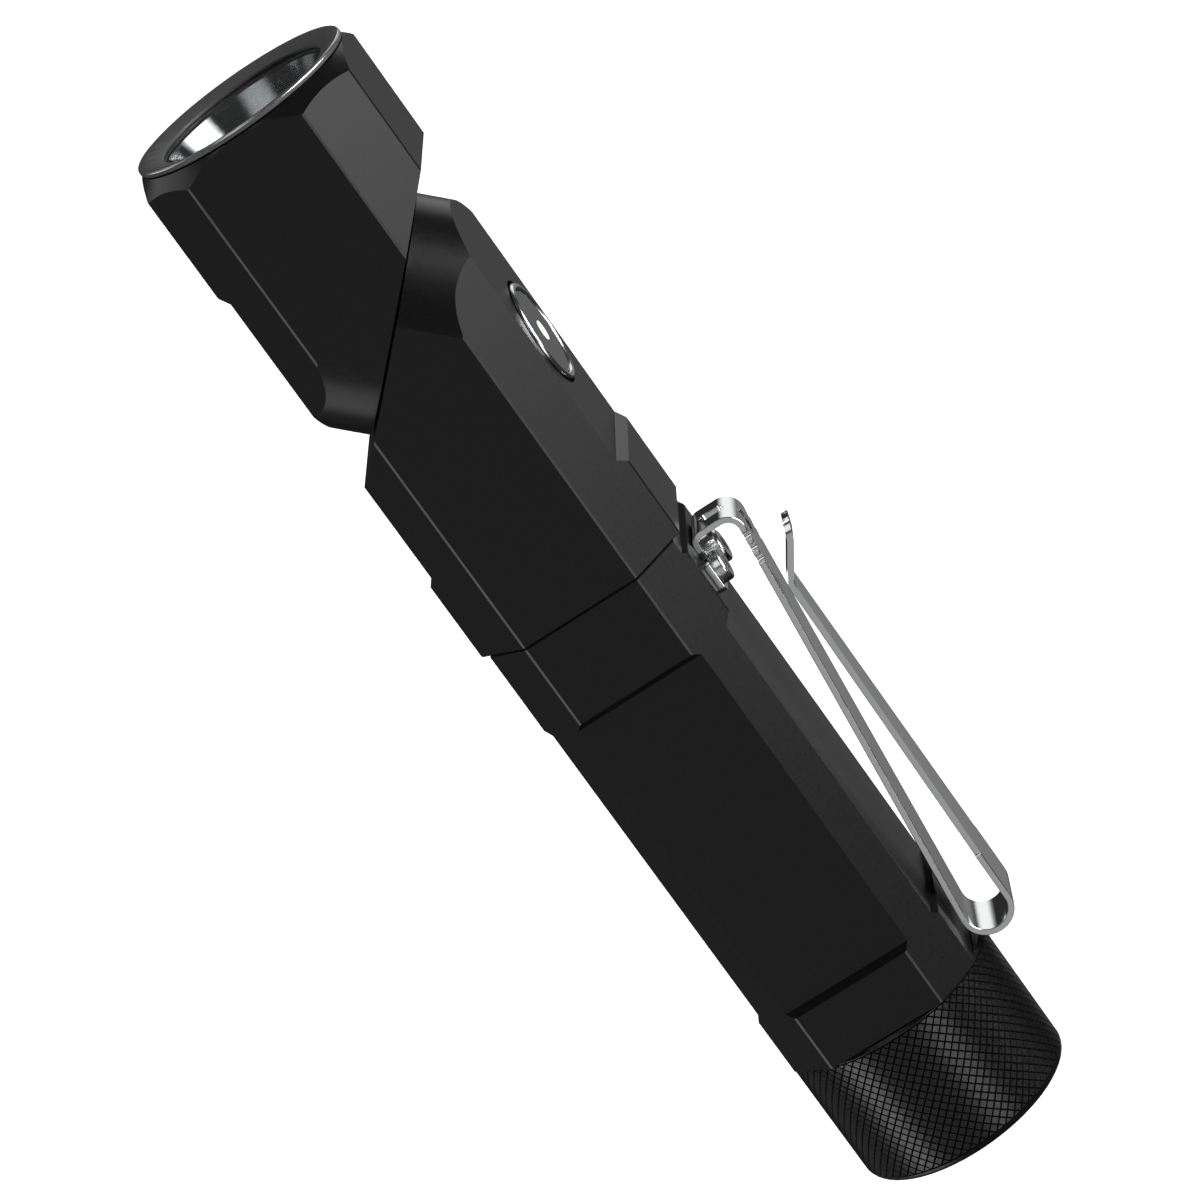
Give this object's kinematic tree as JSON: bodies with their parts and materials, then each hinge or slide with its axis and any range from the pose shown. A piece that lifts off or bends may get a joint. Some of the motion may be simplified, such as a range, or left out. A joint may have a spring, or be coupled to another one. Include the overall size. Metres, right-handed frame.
{
  "type": "tactical flashlight",
  "caption": "Octagonal pocket flashlight cut across at 45 degrees, so that its head swivels to a right angle, with a side button, a folded steel pocket clip and a knurled screw-on tail cap.",
  "frame": {"origin": "centre of the flat tail face, on the light's axis", "axes": "+Z along the axis from the tail to the lens; +X towards the button and the pocket clip"},
  "size_m": [0.0362, 0.027, 0.1437],
  "materials": {
    "anodised_black": "black anodised, fine satin",
    "knurled_black": "black anodised, knurled",
    "bezel_black": "black anodised with a bright turned rim",
    "stainless": "polished spring steel",
    "screw_steel": "plated steel",
    "chrome": "bright chrome",
    "gloss_black": "gloss",
    "indicator": "translucent",
    "glass": "polished, coated",
    "mirror": "vacuum plated",
    "rubber_black": "matte",
    "circuit_green": "solder mask",
    "board_white": "white solder mask on aluminium",
    "led_yellow": "phosphor under silicone",
    "white_plastic": "matte",
    "spring_gold": "gold plated",
    "brass": "turned",
    "cell_wrap": "shrink wrap",
    "steel": "turned"
  },
  "bodies": {
    "body": {"body_housing": "anodised_black", "battery_tube": "anodised_black", "joint_oring": "rubber_black", "tail_oring": "rubber_black", "battery_cell": "cell_wrap", "clip": "stainless", "clip_screws": "screw_steel", "driver_board": "circuit_green", "driver_ring": "brass", "front_spring": "spring_gold", "button_ring": "chrome", "tactile_switch": "gloss_black", "switch_board": "circuit_green"},
    "head": {"head_housing": "anodised_black", "bezel_ring": "bezel_black", "lens": "glass", "lens_seal": "rubber_black", "reflector": "mirror", "led_board": "board_white", "led_board_screws": "screw_steel", "led_emitter": "led_yellow", "led_gasket": "white_plastic", "swivel_spindle": "steel", "spring_washer": "steel", "bearing_washer": "white_plastic", "swivel_seal": "rubber_black", "swivel_stop_pin": "steel"},
    "button": {"button_cap": "gloss_black", "indicator_window": "indicator", "switch_plunger": "white_plastic"},
    "tail_travel": {"tail_spring": "spring_gold"},
    "cap": {"tail_cap": "knurled_black", "tail_contact_board": "circuit_green", "tail_contact_ring": "brass"}
  },
  "joints": [
    {"name": "head_swivel", "type": "hinge", "parent": "body", "child": "head", "pos_m": [0, 0, 0.1147], "axis": [-0.7071, 0, 0.7071], "range_deg": [0, 180]},
    {"name": "button_press", "type": "slide", "parent": "body", "child": "button", "axis": [-1, 0, 0], "range_m": [0, 0.0004], "stiffness_N_per_m": 1500},
    {"name": "cap_travel", "type": "slide", "parent": "body", "child": "tail_travel", "axis": [0, 0, -1], "range_m": [0, 0.00605]},
    {"name": "cap_turn", "type": "hinge", "parent": "tail_travel", "child": "cap", "pos_m": [0, 0, 0], "axis": [0, 0, -1], "range_deg": [0, 2160]}
  ],
  "couplings": [
    {"joint": "cap_travel", "follows": "cap_turn", "m_per_rad": 0.00015915}
  ]
}
